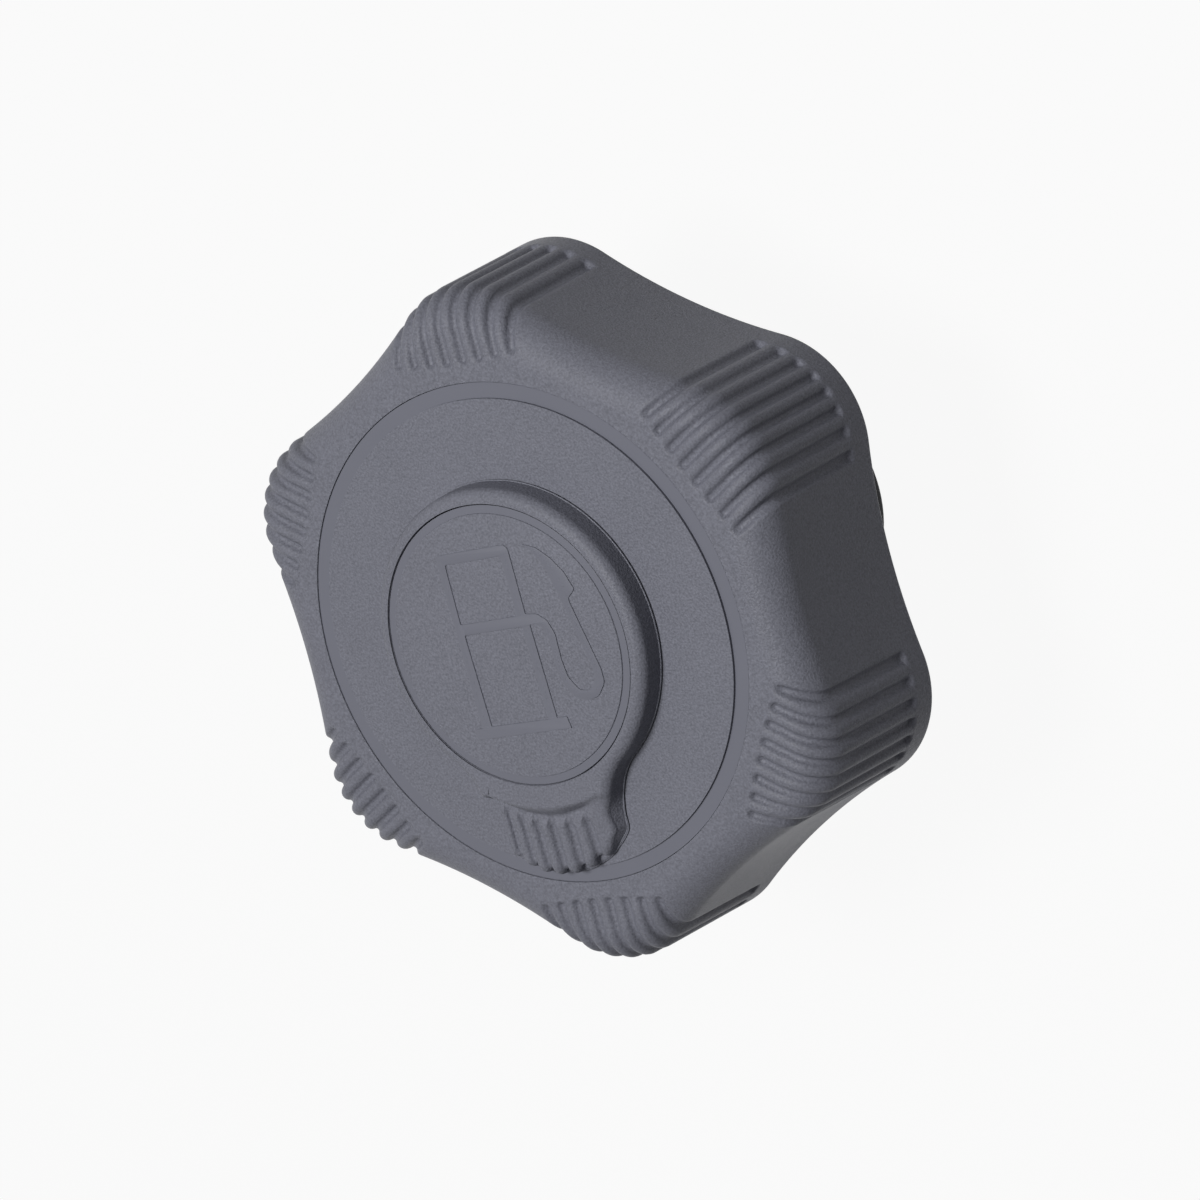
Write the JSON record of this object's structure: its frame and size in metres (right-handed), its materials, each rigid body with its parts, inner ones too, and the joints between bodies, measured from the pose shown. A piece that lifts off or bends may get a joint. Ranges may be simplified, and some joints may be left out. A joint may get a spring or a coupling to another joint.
{
  "type": "fuel filler cap",
  "caption": "Lockable fuel filler cap: fluted lobed grip turning on a bayonet plug, with a swinging cover over the keyhole, a cam-driven lock bolt and vent valves.",
  "frame": {"origin": "centre of the plug's end face, on the cap's axis", "axes": "+Z along the cap's axis, outward from the tank; +Y from the axis to the cover's pivot; the thumb tab points to -Y"},
  "size_m": [0.105, 0.116, 0.0793],
  "materials": {
    "grip_plastic": "fine spark-eroded grain, dark grey",
    "plug_plastic": "moulded, near black",
    "valve_plastic": "natural acetal",
    "filter_plastic": "sintered, porous",
    "seal_rubber": "matt black",
    "spring_steel": "drawn wire and strip",
    "screw_steel": "zinc plated",
    "lock_metal": "die-cast and plated",
    "wafer_brass": "stamped"
  },
  "bodies": {
    "closure": {"bayonet_plug": "plug_plastic", "neck_gasket": "seal_rubber", "thrust_ring": "valve_plastic", "valve_housing": "valve_plastic", "housing_oring": "seal_rubber", "filter_disc": "filter_plastic", "end_retainer": "plug_plastic", "pressure_spring": "spring_steel"},
    "knob": {"grip_knob": "grip_plastic", "face_plate": "grip_plastic", "retaining_ring": "plug_plastic", "ring_screws": "screw_steel", "lock_barrel": "lock_metal", "barrel_seal": "seal_rubber", "barrel_clip": "spring_steel", "bolt_guide": "plug_plastic", "guide_screws": "screw_steel", "pivot_pin": "screw_steel", "pin_clip": "spring_steel"},
    "lock_core": {"lock_core": "lock_metal", "lock_wafers": "wafer_brass", "lock_cam": "lock_metal", "cam_screw": "screw_steel"},
    "lock_bolt": {"lock_bolt": "lock_metal"},
    "key_cover": {"key_cover": "grip_plastic", "cover_badge": "grip_plastic", "friction_washer": "valve_plastic", "keyhole_seal": "seal_rubber"},
    "pressure_valve": {"pressure_disc": "valve_plastic", "pressure_seal": "seal_rubber", "vacuum_spring": "spring_steel"},
    "vacuum_valve": {"vacuum_poppet": "valve_plastic", "vacuum_seal": "seal_rubber", "stem_clip": "spring_steel"}
  },
  "joints": [
    {"name": "grip_spin", "type": "hinge", "parent": "closure", "child": "knob", "pos_m": [0, 0, 0.0635], "axis": [0, 0, 1], "continuous": true},
    {"name": "cover_swing", "type": "hinge", "parent": "knob", "child": "key_cover", "pos_m": [0, 0.0205, 0.076], "axis": [0, 0, 1], "range_deg": [0, 115]},
    {"name": "key_turn", "type": "hinge", "parent": "knob", "child": "lock_core", "pos_m": [0, 0, 0.06], "axis": [0, 0, 1], "range_deg": [0, 90]},
    {"name": "bolt_slide", "type": "slide", "parent": "knob", "child": "lock_bolt", "axis": [1, 0, 0], "range_m": [0, 0.0042]},
    {"name": "pressure_lift", "type": "slide", "parent": "closure", "child": "pressure_valve", "axis": [0, 0, 1], "range_m": [0, 0.0025], "stiffness_N_per_m": 600, "springref_m": -0.005, "deforming": ["pressure_spring"]},
    {"name": "vacuum_drop", "type": "slide", "parent": "pressure_valve", "child": "vacuum_valve", "axis": [0, 0, 1], "range_m": [-0.0016, 0], "stiffness_N_per_m": 150, "springref_m": 0.003, "deforming": ["vacuum_spring"]}
  ],
  "couplings": [
    {"joint": "key_turn", "follows": "bolt_slide", "rad_per_m": 373.99}
  ]
}
